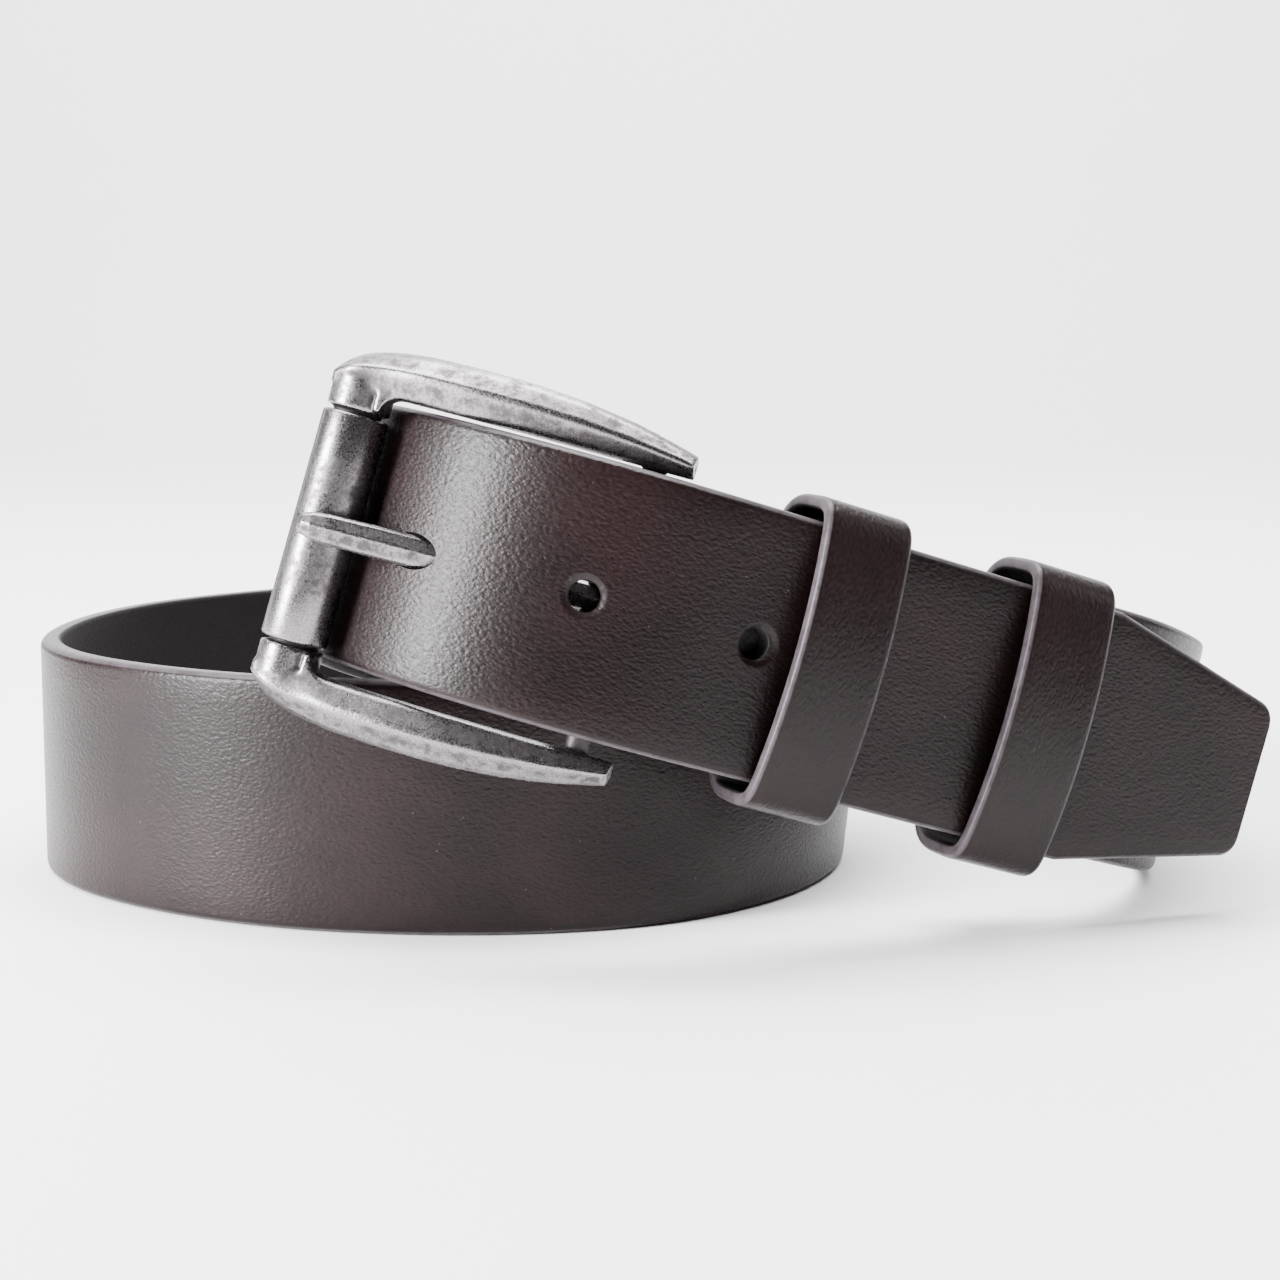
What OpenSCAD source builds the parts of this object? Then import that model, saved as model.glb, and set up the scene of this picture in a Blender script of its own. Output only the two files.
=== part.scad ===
// Leather belt with a roller buckle, fastened and coiled in two turns, standing on its lower edge.
// Millimetres, Z up. The origin is under the middle of the belt, on the surface that it stands on.
// The stiff front stretch (folded buckle end, buckle, keepers) is drawn in its own frame: origin on the
// heel bar's axis, X along the strap to its tip, Y across the strap, Z out of the strap's front face.

/* [Strap] */
// width of the strap
strap_w = 38; // [30:0.5:45]
// thickness of the strap
strap_t = 3.4; // [2.5:0.1:4.5]
// thickness of the skived flap behind the heel bar
flap_t = 2.4; // [1.5:0.1:3.4]
// distance from the heel bar to the flap's end
flap_len = 56; // [50:1:70]
// distance from the heel bar to the tip
tip_len = 104.3; // [95:0.1:110]
// diameter of the punched holes
hole_d = 4.6; // [3:0.1:6]
// spacing of the punched holes
hole_pitch = 25.4; // [20:0.1:30]

/* [Front stretch] */
// height of the heel bar's axis
heel_z = 50.75; // [48:0.25:55]
// turn of the front stretch about the vertical
front_yaw = 21.5; // [15:0.5:30]
// downward slope of the front stretch
front_pitch = 17; // [10:0.5:20]
// radius of the strap's front face where it bends back behind the roller
bend_r = 42.5; // [38:0.5:48]
// start of that bend, beyond the heel bar
bend_x = 10; // [8:0.5:12]
// turn of the buckle out of the straight stretch
buckle_turn = 33; // [28:0.5:38]

/* [Buckle] */
// distance between the heel bar and the roller's axis
bar_gap = 43.9; // [40:0.1:50]
// diameter of the heel bar
heel_d = 3.6; // [3:0.1:5]
// outer diameter of the roller
roller_d = 9.7; // [8:0.1:12]
// wall of the roller
roller_wall = 1.2; // [0.8:0.1:2]
// length of the roller
roller_len = 33.6; // [28:0.1:36]
// running clearance round the front bar and the heel bar
fit_gap = 0.07; // [0.03:0.01:0.1]
// width between the arms
arm_inside = 40.8; // [40:0.1:44]
// drop of the buckle against the strap, across the strap
buckle_drop = 0.9; // [0:0.1:1.2]
// width of the prong
prong_w = 4.2; // [3:0.1:5]
// thickness of the prong
prong_t = 3; // [2:0.1:4]
// length of the prong beyond the heel bar
prong_len = 46.5; // [45:0.5:52]

/* [Keepers] */
// width of each keeper along the strap
keeper_w = 13.8; // [10:0.2:16]
// thickness of the keeper's leather
keeper_t = 2; // [1.5:0.1:3]
// near edge of the first keeper, from the heel bar
keeper_1_x = 22.2; // [22:0.1:26]
// near edge of the second keeper
keeper_2_x = 57.3; // [57:0.1:62]

/* [Hidden] */
$fn = 64;
// small overlap or play that keeps faces from coinciding
e = 0.01;
// moves the belt's middle over the origin
belt_shift = [1.74, -14.24, 0];
// heel bar's axis before that move
heel_at = [-3.3, -59.3, heel_z];

// gap between layers of leather that lie on each other
layer_gap = 0.2;
// inner radius of the fold round the heel bar
wrap_r = heel_d / 2 + 0.15;
// the fold runs over into the main strap where their two arcs touch
bend_to_heel = bend_r - 2 * strap_t - layer_gap - wrap_r;
touch_angle = asin(bend_x / bend_to_heel);

// stack of the front stretch, as heights over the heel bar's axis
bend_z = -bend_to_heel * cos(touch_angle);
tip_top = bend_z + bend_r;
under_top = tip_top - strap_t - layer_gap;
under_low = under_top - strap_t;
// room for the snaps between the strap and the flap
flap_gap = 2.2;
flap_top = under_low - flap_gap;
flap_low = flap_top - flap_t;
// length over which the flap rises from the heel bar's fold
flap_rise = 11;

// bends of the strap's middle line
tip_mid_r = bend_r - strap_t / 2;
under_mid_r = tip_mid_r - strap_t - layer_gap;
// angle at which the bend behind the roller ends
bend_end = 92;
// angle between the guides that carry that bend over into the route
guide_step = 16;

// route of the strap's middle line from the second keeper back to the buckle, as seen from above
route = [
    [71, -35, 28], [80, -22.5, 23.5], [86, -9, 20], [87, 5, 19], [86.5, 19.5, 19.1], [82, 37, 19.1],
    [73.5, 54.5, 19], [61, 71.5, 19], [43, 85.5, 19], [22.5, 93.5, 19], [0, 98, 19], [-22, 96, 19],
    [-44.5, 90, 19], [-64.5, 77.5, 19], [-81.5, 62.5, 19], [-92.5, 47, 19], [-98, 27.5, 19], [-98.5, 10, 19],
    [-96.5, -2, 19], [-90.5, -15, 19], [-80.5, -26, 19], [-67.5, -35.5, 19], [-52.5, -42.5, 19], [-35, -46, 19],
    [-18, -46, 19], [-1, -42, 19], [13.5, -32.5, 19], [26, -18.5, 19.1], [33.5, -2, 19.1], [36, 14, 19.5],
    [31.5, 30, 21.5], [20, 40.5, 25.5], [5.5, 45, 30], [-9.5, 44, 34.5], [-24.5, 37.5, 39], [-36.5, 27, 44],
    [-45.5, 12.5, 49], [-49.5, -2.5, 54], [-49, -21, 58]
];
// lean of the strap's upper edge at places along the route: [number of the route point, lean in X and Y]
leans = [[0, 0.27, 0.11], [3, 0.2, 0.11], [6, 0, 0], [26, 0, 0], [29, 0.14, 0], [32, 0.24, 0.06], [38, 0.28, 0.11]];
// rings of the sweep in each step of the route
rings_per_step = 4;

// number of holes between the prong and the tip
holes_after = 2;
// place of the prong's hole, from the heel bar along the strap's front face
first_hole = -33.6;
// place of the last hole before the buckle on the route: its step and the share of that step
far_hole = [38, 0.4];

// radii of the roller, its bore and the bar in it
roller_r = roller_d / 2;
bore_r = roller_r - roller_wall;
front_bar_r = bore_r - fit_gap;
// thick ends of the front bar beside the roller
block_r = roller_r - 0.25;
block_in = (roller_len + 1.2) / 2;
block_out = arm_inside / 2 + 1.6;
// hollow corner between a thick end and its arm: radius, lowest and highest point
corner_r = 2.6;
corner_low = 0.6;
corner_high = 4.1;
// fall of an arm's face from its ridge to its inner edge
arm_slope = 1.6;
// bosses that hold the heel bar
boss_r = heel_d / 2 + 1;
boss_t = 2;

// lift of the prong that rests on the roller, and how much further it can swing
prong_rise = asin((roller_r + 0.3 + prong_t / 2) / bar_gap);
prong_play = 2;
// outer radius of the prong's eye
eye_r = heel_d / 2 + fit_gap + 1.5;
// slanted way through the prong's hole: its ends along the prong and its height
way_from = -38.5;
way_to = -17.5;
way_room = prong_t + 1.9;

// room inside a keeper, as heights over the heel bar's axis and beside the strap
keeper_low = flap_low - 1.9;
keeper_high = tip_top + 2.6;
keeper_side = 1.7;
keeper_in = [strap_w + 2 * keeper_side, keeper_high - keeper_low];
// radius of its arched front and of its corners
keeper_arch = 75;
keeper_corner = 4.4;
// two staples side by side: wire, span, spacing, length of the clinched ends
staple_r = 0.4;
staple_span = 7;
staple_pitch = 6;
staple_end = 2;

// press snaps: places along the strap
snap_x = [17, 48];
// cap with its tube
cap_r = 6.2;
cap_t = 0.8;
tube_wall = 0.6;
tube_rise = 0.3;
// socket
socket_r = 5.6;
socket_t = 1.5;
socket_floor = 0.3;
socket_hole_r = 2.2;
// stud: knob, its clearance in the socket's spring, flange and the gap to the leather over it
knob_r = 2.7;
spring_play = 0.25;
stud_flange_r = 4.6;
stud_flange_t = 0.5;
stud_gap = 0.05;
// post
post_hole_r = 1.7;
post_head_r = 4;
post_head_t = 0.5;
// ring spring
spring_wire_r = 0.3;

leather_color = [0.24, 0.17, 0.16];
silver_color = [0.62, 0.6, 0.57];
nickel_color = [0.72, 0.71, 0.68];

// frame of the front stretch
function turn_y(a, p) = [p.x * cos(a) + p.z * sin(a), p.y, p.z * cos(a) - p.x * sin(a)];
function turn_z(a, p) = [p.x * cos(a) - p.y * sin(a), p.x * sin(a) + p.y * cos(a), p.z];
function from_front(p) = turn_z(front_yaw, turn_y(front_pitch, [p.x, -p.z, p.y]));
function front_point(p) = heel_at + from_front(p);
front_up = from_front([0, 1, 0]);

// a ring of the sweep: [middle, direction along the strap, direction across it, half width, half thickness]
function unit(a) = a / norm(a);
function square_to(a, t) = unit(a - (a * t) * t);
function corners(r) =
    let (n = cross(r[1], r[2]))
    [for (k = [[-1, -1], [1, -1], [1, 1], [-1, 1]]) r[0] + k.x * r[3] * r[2] + k.y * r[4] * n];

// a ring that lies in the front stretch: x and z of its middle, heading in that plane, half width, thickness
function front_ring(x, z, heading, half_w, t) =
    [front_point([x, 0, z]), from_front([cos(heading), 0, sin(heading)]), front_up, half_w, t / 2];

// cubic B-spline through a list of guides
function b_at(g, i, t) = (pow(1 - t, 3) * g[i] + (3 * pow(t, 3) - 6 * t * t + 4) * g[i + 1]
    + (-3 * pow(t, 3) + 3 * t * t + 3 * t + 1) * g[i + 2] + pow(t, 3) * g[i + 3]) / 6;
function b_dir(g, i, t) = unit(-pow(1 - t, 2) * g[i] + (3 * t * t - 4 * t) * g[i + 1]
    + (-3 * t * t + 2 * t + 1) * g[i + 2] + t * t * g[i + 3]);

// guides that carry the straight stretch and the bend behind the roller over into the route
straight_guides = [for (x = [26, 42, 58]) front_point([x, 0, under_top - strap_t / 2])];
function bend_point(a, r) = [bend_x - r * sin(a), 0, bend_z + r * cos(a)];
guide_r = tip_mid_r * 3 / (2 + cos(guide_step));
bend_guides = [for (k = [1, 0, -1]) front_point(bend_point(bend_end + k * guide_step, guide_r))];
guides = concat(straight_guides, route, bend_guides);
function lean_at(k) = unit([lookup(k, [for (a = leans) [a[0], a[1]]]), lookup(k, [for (a = leans) [a[0], a[2]]]), 1]);
lean_guides = concat([for (k = [0:2]) front_up], [for (k = [0:len(route) - 1]) lean_at(k)],
    [for (k = [0:2]) front_up]);

function route_ring(i, t) =
    let (d = b_dir(guides, i, t))
    [b_at(guides, i, t), d, square_to(b_at(lean_guides, i, t), d), strap_w / 2, strap_t / 2];

// flap, from its end to the heel bar, with the rise from the bar to its straight part
function smooth(a) = a * a * (3 - 2 * a);
function flap_ring(x) =
    let (a = min(x / flap_rise, 1), low = -wrap_r - flap_t / 2, high = (flap_top + flap_low) / 2)
    let (slope = (high - low) * 6 * a * (1 - a) / flap_rise)
    front_ring(x, low + (high - low) * smooth(a), 180 + atan(slope), strap_w / 2, flap_t);
flap_rings = [for (x = [flap_len, flap_rise, 8.5, 6.5, 4.5, 2.5, 0]) flap_ring(x)];

// fold round the heel bar, growing from the flap's thickness to the strap's
fold_steps = 10;
fold_rings = [for (k = [1:fold_steps - 1])
    let (share = k / fold_steps)
    let (a = 270 - share * (180 - touch_angle), t = flap_t + (strap_t - flap_t) * share, r = wrap_r + t / 2)
    front_ring(r * cos(a), r * sin(a), a - 90, strap_w / 2, t)];

// main strap in front of the heel bar, up to the straight stretch
lead_steps = 4;
lead_rings = [for (k = [0:lead_steps])
    let (a = touch_angle * (1 - k / lead_steps), p = bend_point(a, under_mid_r))
    front_ring(p.x, p.z, a, strap_w / 2, strap_t)];

route_steps = len(guides) - 3;
route_rings = [for (i = [0:route_steps - 1]) for (k = [0:rings_per_step - 1]) route_ring(i, k / rings_per_step)];

// bend behind the roller and the straight stretch to the tip, whose half width falls toward its end
bend_step = 5.75;
bend_rings = [for (a = [bend_end:-bend_step:0.1])
    let (p = bend_point(a, tip_mid_r))
    front_ring(p.x, p.z, a, strap_w / 2, strap_t)];
tip_shape = [[bend_x, strap_w / 2], [tip_len - 30, strap_w / 2], [tip_len - 1.8, 12.2], [tip_len - 0.8, 11.7],
    [tip_len - 0.25, 11], [tip_len, 10]];
tip_rings = [for (s = tip_shape) front_ring(s.x, tip_top - strap_t / 2, 0, s.y, strap_t)];

strap_rings = concat(flap_rings, fold_rings, lead_rings, route_rings, bend_rings, tip_rings);

module sweep(rings) {
    sides = 4;
    last = len(rings) - 1;
    points = [for (r = rings) for (p = corners(r)) p];
    walls = [for (i = [0:last - 1]) for (k = [0:sides - 1])
        let (a = i * sides + k, b = i * sides + (k + 1) % sides)
        each [[a, b + sides, b], [a, a + sides, b + sides]]];
    ends = [[0, 1, 2, 3], [for (k = [sides - 1:-1:0]) last * sides + k]];
    polyhedron(points, concat(walls, ends), convexity = 12);
}

// places the children in the front stretch's frame
module in_front() {
    translate(heel_at) rotate([0, 0, front_yaw]) rotate([0, front_pitch, 0]) rotate([90, 0, 0]) children();
}

// places the children in the buckle's frame: X to the tip, Y across, Z out of the buckle, roller at -X
module in_buckle() {
    in_front() rotate([0, -buckle_turn, 0]) children();
}

module bar(length, r) {
    rotate([90, 0, 0]) cylinder(h = length, r = r, center = true);
}

module punch(place, direction) {
    translate(place) multmatrix([
        [cross(front_up, direction).x, front_up.x, direction.x, 0],
        [cross(front_up, direction).y, front_up.y, direction.y, 0],
        [cross(front_up, direction).z, front_up.z, direction.z, 0]
    ]) cylinder(h = 3 * strap_t, d = hole_d, center = true);
}

// place of a hole of the straight stretch or the bend, by its distance along the strap's front face
module hole_in_front(s) {
    a = max(0, (bend_x - s) / bend_r * 180 / PI);
    in_front() translate(a > 0 ? bend_point(a, tip_mid_r) : [s, 0, tip_top - strap_t / 2]) rotate([0, -a, 0])
        cylinder(h = strap_t + 2 * layer_gap - 2 * e, d = hole_d, center = true);
}

module holes() {
    for (k = [1:holes_after]) hole_in_front(first_hole + k * hole_pitch);
    hole_in_front(first_hole - hole_pitch);
    ring = route_ring(far_hole[0], far_hole[1]);
    punch(ring[0], unit(cross(ring[1], ring[2])));
}

// slanted way through the prong's hole, as high as the prong needs over its play
module prong_way() {
    in_buckle() rotate([0, prong_rise + prong_play / 2, 0]) translate([(way_from + way_to) / 2, 0, 0.1])
        cube([way_to - way_from, hole_d, way_room], center = true);
}

module strap() {
    color(leather_color) translate(belt_shift) difference() {
        sweep(strap_rings);
        holes();
        prong_way();
        in_front() bar(hole_d + 0.4, wrap_r + strap_t + layer_gap / 2);
        in_front() for (x = snap_x) translate([x, 0, flap_low - 1]) cylinder(h = flap_t + 2, r = socket_hole_r);
        in_front() for (x = snap_x) translate([x, 0, under_low - 0.5]) cylinder(h = strap_t + 0.6, r = post_hole_r);
        in_front() for (x = snap_x) translate([x, 0, under_top - post_head_t]) cylinder(h = layer_gap / 2
            + post_head_t, r = post_head_r);
    }
}

// one arm: stations along the buckle as [x, height of the middle, half height, outer edge]
arm_stations = [[6, 2.4, 2, 23.8], [4, 2.7, 2.1, 24.4], [-3, 3.8, 2.4, 26], [-11, 4.9, 2.5, 27.1],
    [-19, 5.2, 2.5, 27.6], [-27, 4.6, 2.6, 27.7], [-35, 3, 3, 27.6], [-41, 1.2, 3.5, 27], [-45.5, 0, 3.8, 25.8],
    [-47.5, -0.2, 3.4, 24.6], [-48.2, -0.2, 3.1, 23.4]];

// section of an arm: a ridge halfway across its face, with a slope to either side
function arm_section(s) =
    let (inside = arm_inside / 2, width = s[3] - inside, low = s[1] - s[2], high = s[1] + s[2])
    [[s[0], inside, low], [s[0], inside, high - arm_slope], [s[0], inside + width / 2, high],
        [s[0], s[3] - width / 8, s[1] + s[2] / 4], [s[0], s[3], s[1] - s[2] / 4], [s[0], s[3] - width / 8, low]];

module arm() {
    sections = [for (s = arm_stations) arm_section(s)];
    sides = len(sections[0]);
    last = len(sections) - 1;
    walls = [for (i = [0:last - 1]) for (k = [0:sides - 1])
        let (a = i * sides + k, b = i * sides + (k + 1) % sides)
        each [[a, b + sides, b], [a, a + sides, b + sides]]];
    ends = [[for (k = [0:sides - 1]) k], [for (k = [sides - 1:-1:0]) last * sides + k]];
    polyhedron([for (s = sections) each s], concat(walls, ends));
}

// thick end of the front bar, which holds the roller in its place
module block() {
    translate([-bar_gap, (block_in + block_out) / 2, 0]) bar(block_out - block_in, block_r);
}

// hollow corner between the thick end and the arm
module corner() {
    side = block_r - 0.3;
    translate([-bar_gap + side, arm_inside / 2, corner_low]) linear_extrude(height = corner_high - corner_low)
        difference() {
            translate([-1, -corner_r]) square([corner_r + 1, corner_r + 1.5]);
            translate([corner_r, -corner_r]) circle(corner_r);
        }
}

module buckle_side() {
    arm();
    block();
    corner();
    translate([0, arm_inside / 2 + 1.2, 0]) bar(boss_t, boss_r);
}

module buckle_frame() {
    color(silver_color) translate(belt_shift) in_buckle() translate([0, -buckle_drop, 0]) union() {
        buckle_side();
        mirror([0, 1, 0]) buckle_side();
        bar(arm_inside + 2, heel_d / 2);
        translate([-bar_gap, 0, 0]) bar(arm_inside - 2, front_bar_r);
    }
}

module roller() {
    color(silver_color) translate(belt_shift) in_buckle() translate([-bar_gap, -buckle_drop, 0]) difference() {
        bar(roller_len, roller_r);
        bar(roller_len + 1, bore_r);
    }
}

// prong: an eye round the heel bar and a flat shank that narrows toward its tip
module prong() {
    color(silver_color) translate(belt_shift) in_buckle() rotate([0, prong_rise, 0]) difference() {
        union() {
            bar(prong_w, eye_r);
            rotate([90, 0, 0]) linear_extrude(height = prong_w, center = true) polygon([
                [0, -prong_t / 2], [0, eye_r - 0.2], [-8, prong_t / 2 + 0.3], [-38, prong_t / 2],
                [1 - prong_len, prong_t / 2 - 0.3], [-prong_len, 0.2], [0.5 - prong_len, -prong_t / 2],
                [-8, -prong_t / 2]
            ]);
        }
        bar(prong_w + 1, heel_d / 2 + fit_gap);
    }
}

// rounded rectangle from exact arcs
module rounded(width, height, r) {
    square([width, height - 2 * r], center = true);
    square([width - 2 * r, height], center = true);
    for (x = [-1, 1], y = [-1, 1]) translate([x * (width / 2 - r), y * (height / 2 - r)]) circle(r);
}

// outline of the keeper's loop, grown by a distance: flat at the back, arched at the front
module keeper_outline(grow) {
    intersection() {
        rounded(keeper_in.x + 2 * grow, keeper_in.y + 2 * grow, keeper_corner + grow);
        translate([0, keeper_in.y / 2 - keeper_arch]) circle(keeper_arch + grow, $fn = 200);
    }
}

module keeper_band(x) {
    difference() {
        in_front() translate([x, 0, (keeper_high + keeper_low) / 2]) rotate([90, 0, 90])
            linear_extrude(height = keeper_w) difference() {
                keeper_outline(keeper_t);
                keeper_outline(0);
            }
        in_front() for (k = [1, -1], y = [1, -1])
            translate([x + (keeper_w + k * staple_pitch) / 2, y * staple_span / 2, keeper_low - 2 * keeper_t])
                cylinder(h = 3 * keeper_t, r = staple_r + e);
    }
}

// two wire staples across the joint at the keeper's back, clinched on its inner face
module keeper_staples(x) {
    back = keeper_low - keeper_t - staple_r;
    in_front() for (k = [1, -1]) translate([x + (keeper_w + k * staple_pitch) / 2, 0, 0]) {
        translate([0, 0, back]) bar(staple_span + 2 * staple_r, staple_r);
        for (y = [1, -1]) {
            translate([0, y * staple_span / 2, back]) cylinder(h = keeper_t + 2 * staple_r, r = staple_r);
            translate([0, y * (staple_span - staple_end) / 2, keeper_low + staple_r]) bar(staple_end, staple_r);
        }
    }
}

module keeper_fixed() {
    color(leather_color) translate(belt_shift) keeper_band(keeper_1_x);
}

module keeper_fixed_staples() {
    color(nickel_color) translate(belt_shift) keeper_staples(keeper_1_x);
}

module keeper_free() {
    color(leather_color) translate(belt_shift) keeper_band(keeper_2_x);
}

module keeper_free_staples() {
    color(nickel_color) translate(belt_shift) keeper_staples(keeper_2_x);
}

module at_snaps() {
    translate(belt_shift) in_front() for (x = snap_x) translate([x, 0, 0]) children();
}

// cap on the flap's back, with the tube that holds the socket
module snap_caps() {
    color(nickel_color) at_snaps() difference() {
        union() {
            translate([0, 0, flap_low - cap_t]) cylinder(h = cap_t, r = cap_r);
            translate([0, 0, flap_low - e]) cylinder(h = flap_t + tube_rise + e, r = socket_hole_r - e);
        }
        translate([0, 0, flap_low]) cylinder(h = flap_t + 1, r = socket_hole_r - tube_wall);
    }
}

module snap_sockets() {
    color(nickel_color) at_snaps() translate([0, 0, flap_top]) difference() {
        cylinder(h = socket_t, r = socket_r);
        translate([0, 0, -e]) cylinder(h = socket_floor + 2 * e, r = socket_hole_r);
        translate([0, 0, socket_floor]) cylinder(h = socket_t, r = knob_r + 0.5);
    }
}

// ring spring between the socket's wall and the knob's neck
module snap_springs() {
    color(nickel_color) at_snaps() translate([0, 0, flap_top + 1])
        rotate_extrude() translate([knob_r + spring_wire_r / 2, 0]) circle(spring_wire_r, $fn = 24);
}

module snap_studs() {
    flange_low = under_low - stud_gap - stud_flange_t;
    knob_low = flap_top + socket_floor + 0.2;
    color(nickel_color) at_snaps() difference() {
        union() {
            translate([0, 0, flange_low]) cylinder(h = stud_flange_t, r = stud_flange_r);
            translate([0, 0, knob_low]) cylinder(h = flange_low - knob_low + e, r = knob_r - spring_play);
        }
        translate([0, 0, flap_top + 1]) cylinder(h = flap_gap, r = post_hole_r);
    }
}

module snap_posts() {
    color(nickel_color) at_snaps() {
        translate([0, 0, under_top - post_head_t]) cylinder(h = post_head_t, r = post_head_r - e);
        translate([0, 0, flap_top + 1 + e]) cylinder(h = under_top - post_head_t - flap_top - 1, r = post_hole_r - e);
    }
}

strap();
buckle_frame();
roller();
prong();
keeper_fixed();
keeper_fixed_staples();
keeper_free();
keeper_free_staples();
snap_caps();
snap_sockets();
snap_springs();
snap_studs();
snap_posts();
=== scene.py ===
import math

import bmesh
import bpy
import numpy as np
from mathutils import Matrix, Vector


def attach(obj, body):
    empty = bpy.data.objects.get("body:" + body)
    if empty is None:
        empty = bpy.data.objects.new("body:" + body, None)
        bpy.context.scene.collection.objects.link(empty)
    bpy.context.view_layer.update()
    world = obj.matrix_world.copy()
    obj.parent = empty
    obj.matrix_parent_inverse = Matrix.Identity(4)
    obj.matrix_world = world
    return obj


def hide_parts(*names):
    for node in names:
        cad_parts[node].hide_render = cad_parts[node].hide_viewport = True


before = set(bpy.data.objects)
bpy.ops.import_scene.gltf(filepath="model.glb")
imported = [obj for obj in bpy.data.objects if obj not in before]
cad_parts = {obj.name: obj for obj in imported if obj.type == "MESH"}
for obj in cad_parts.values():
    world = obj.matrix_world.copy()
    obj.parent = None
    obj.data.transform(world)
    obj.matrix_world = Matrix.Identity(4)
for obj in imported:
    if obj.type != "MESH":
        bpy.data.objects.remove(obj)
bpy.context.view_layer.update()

# The drawing's sizes, which are repeated here so that the fine pieces stand exactly where the CAD's do
MM = 0.001

# Strap
STRAP_W = 38 * MM
STRAP_T = 3.4 * MM
FLAP_T = 2.4 * MM
FLAP_LEN = 56 * MM
FLAP_RISE = 11 * MM
TIP_LEN = 104.3 * MM
HOLE_D = 4.6 * MM
HOLE_PITCH = 25.4 * MM
FIRST_HOLE = -33.6 * MM
LAYER_GAP = 0.2 * MM
FLAP_GAP = 2.2 * MM

# Front stretch: origin on the heel bar's axis, X to the tip, Y across the strap, Z out of its front face
SHIFT = np.array([1.74, -14.24, 0]) * MM
HEEL = np.array([-3.3, -59.3, 50.75]) * MM + SHIFT
YAW = 21.5
PITCH = 17
BEND_R = 42.5 * MM
BEND_X = 10 * MM
BUCKLE_TURN = 33
BEND_END = 92
# Guides that carry the straight stretch, in millimetres, and the bend, in degrees, over into the route
ROUTE_START = 42
GUIDE_GAP = 16
GUIDE_STEP = 16

# Buckle
BAR_GAP = 43.9 * MM
HEEL_R = 1.8 * MM
ROLLER_R = 4.85 * MM
ROLLER_WALL = 1.2 * MM
ROLLER_LEN = 33.6 * MM
ARM_INSIDE = 40.8 * MM
BUCKLE_DROP = 0.9 * MM
PRONG_W = 4.2 * MM
PRONG_T = 3 * MM
# Arm stations: X, height of the middle, half height and outer edge, in millimetres
ARM = [
    (-48.2, -0.2, 3.2, 23.4), (-47.5, -0.1, 3.6, 24.6), (-45.5, 0.3, 4.1, 25.8), (-41, 1.2, 3.5, 27),
    (-35, 3, 3, 27.6), (-27, 4.6, 2.6, 27.7), (-19, 5.2, 2.5, 27.6), (-11, 4.9, 2.5, 27.1),
    (-3, 3.8, 2.4, 26), (4, 2.7, 2.1, 24.4), (6, 2.4, 2, 23.8),
]
# Prong stations: X, width, height of its lower face and of its ridge, in millimetres
PRONG = [
    (-0.5, 4.2, -1.5, 2.6), (-4, 4.2, -1.5, 2.1), (-8, 4.4, -1.5, 1.8), (-20, 4.7, -1.5, 1.65),
    (-36, 4.6, -1.5, 1.55), (-42, 4.4, -1.5, 1.4), (-44.5, 3.9, -1.45, 1.1), (-45.8, 3.1, -1.3, 0.6),
    (-46.4, 1.9, -0.9, 0.0),
]
# The prong's section is drawn this high, in millimetres, and squeezed where the prong is thinner
PRONG_SECTION = 2.2

# Keepers
KEEPER_W = 13.8 * MM
KEEPER_T = 2 * MM
KEEPER_SIDE = 1.7 * MM
KEEPER_CORNER = 4.4 * MM
KEEPER_ARCH = 75 * MM
KEEPER_BELOW = 1.9 * MM
KEEPER_ABOVE = 2.6 * MM
KEEPER_1_X = 22.2 * MM
KEEPER_2_X = 57.3 * MM

# Route of the strap's middle line, in millimetres, from the second keeper round to the back of the roller
ROUTE = [
    [71, -35, 28], [80, -22.5, 23.5], [86, -9, 20], [87, 5, 19], [86.5, 19.5, 19.1],
    [82, 37, 19.1], [73.5, 54.5, 19], [61, 71.5, 19], [43, 85.5, 19], [22.5, 93.5, 19],
    [0, 98, 19], [-22, 96, 19], [-44.5, 90, 19], [-64.5, 77.5, 19], [-81.5, 62.5, 19],
    [-92.5, 47, 19], [-98, 27.5, 19], [-98.5, 10, 19], [-96.5, -2, 19], [-90.5, -15, 19],
    [-80.5, -26, 19], [-67.5, -35.5, 19], [-52.5, -42.5, 19], [-35, -46, 19], [-18, -46, 19],
    [-1, -42, 19], [13.5, -32.5, 19], [26, -18.5, 19.1], [33.5, -2, 19.1], [36, 14, 19.5],
    [31.5, 30, 21.5], [20, 40.5, 25.5], [5.5, 45, 30], [-9.5, 44, 34.5], [-24.5, 37.5, 39],
    [-36.5, 27, 44], [-45.5, 12.5, 49], [-49.5, -2.5, 54], [-49, -21, 58],
]
# Lean of the strap's upper edge: number of the route point, lean in X, lean in Y
LEANS = [
    (0, 0.27, 0.11), (3, 0.2, 0.11), (6, 0, 0), (26, 0, 0), (29, 0.14, 0), (32, 0.24, 0.06), (38, 0.28, 0.11),
]
# The fifth hole, on the route behind the roller: number of the stretch, share of it
FAR_HOLE = (38, 0.4)
# Half width of the strap by the distance from its tip, in millimetres: the taper and the corners of the end
TAPER = [(30, 19), (1.8, 12.2), (1.1, 11.9), (0.5, 11.4), (0.15, 10.8), (0, 10)]

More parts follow.
